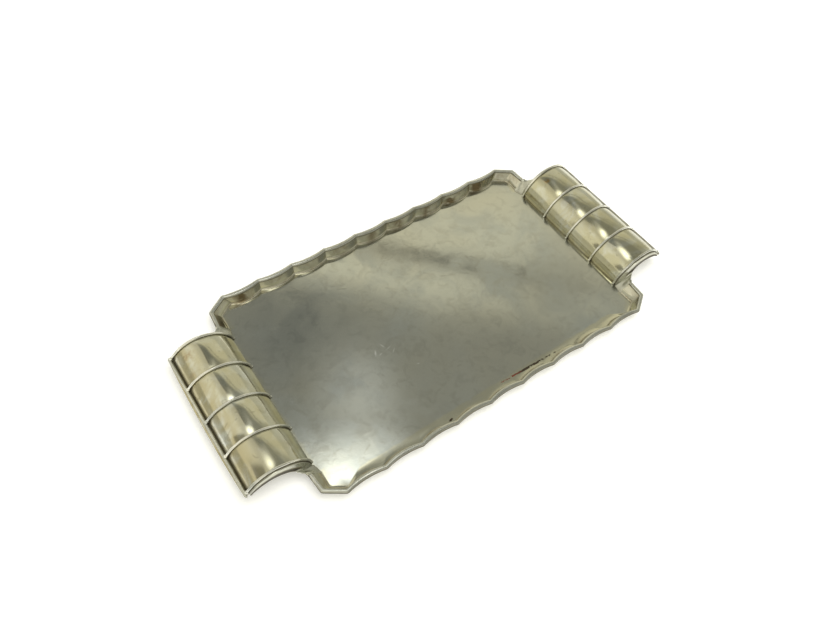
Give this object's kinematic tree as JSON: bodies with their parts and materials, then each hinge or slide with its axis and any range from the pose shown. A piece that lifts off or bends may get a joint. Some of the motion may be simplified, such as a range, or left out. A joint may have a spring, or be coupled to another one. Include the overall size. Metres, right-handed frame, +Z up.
{
  "type": "dresser vanity tray",
  "caption": "Oblong metal vanity tray with scalloped upright sides, clipped corners and a ribbed barrel-arched handle along each short side.",
  "frame": {"origin": "centre of the pan's underside, on the surface the tray stands on", "axes": "+X along the tray's length from handle to handle, +Y across it towards the back long side, +Z up"},
  "size_m": [0.337, 0.1632, 0.021],
  "materials": {
    "pan": "worn silver plate over brass or nickel silver, satin from fine scratches, olive and grey tarnish",
    "border": "silver plate, rubbed bright on its crest, dark tarnish along its foot",
    "shell": "glossier silver plate with cream and yellow tarnish and brown spots",
    "wire": "silver plate rubbed bright along the top, dark where it meets the shell",
    "rail": "silver plate with dark tarnish and small bright beads of solder",
    "plate": "silver plate, duller and darker than the shell"
  },
  "bodies": {
    "root": {"tray_pan": "pan", "front_border": "border", "back_border": "border", "left_handle_shell": "shell", "left_handle_wire_1": "wire", "left_handle_wire_2": "wire", "left_handle_wire_3": "wire", "left_handle_wire_4": "wire", "left_handle_wire_5": "wire", "left_handle_rail": "rail", "left_handle_front_plate": "plate", "left_handle_back_plate": "plate", "right_handle_shell": "shell", "right_handle_wire_1": "wire", "right_handle_wire_2": "wire", "right_handle_wire_3": "wire", "right_handle_wire_4": "wire", "right_handle_wire_5": "wire", "right_handle_rail": "rail", "right_handle_front_plate": "plate", "right_handle_back_plate": "plate"}
  },
  "joints": []
}
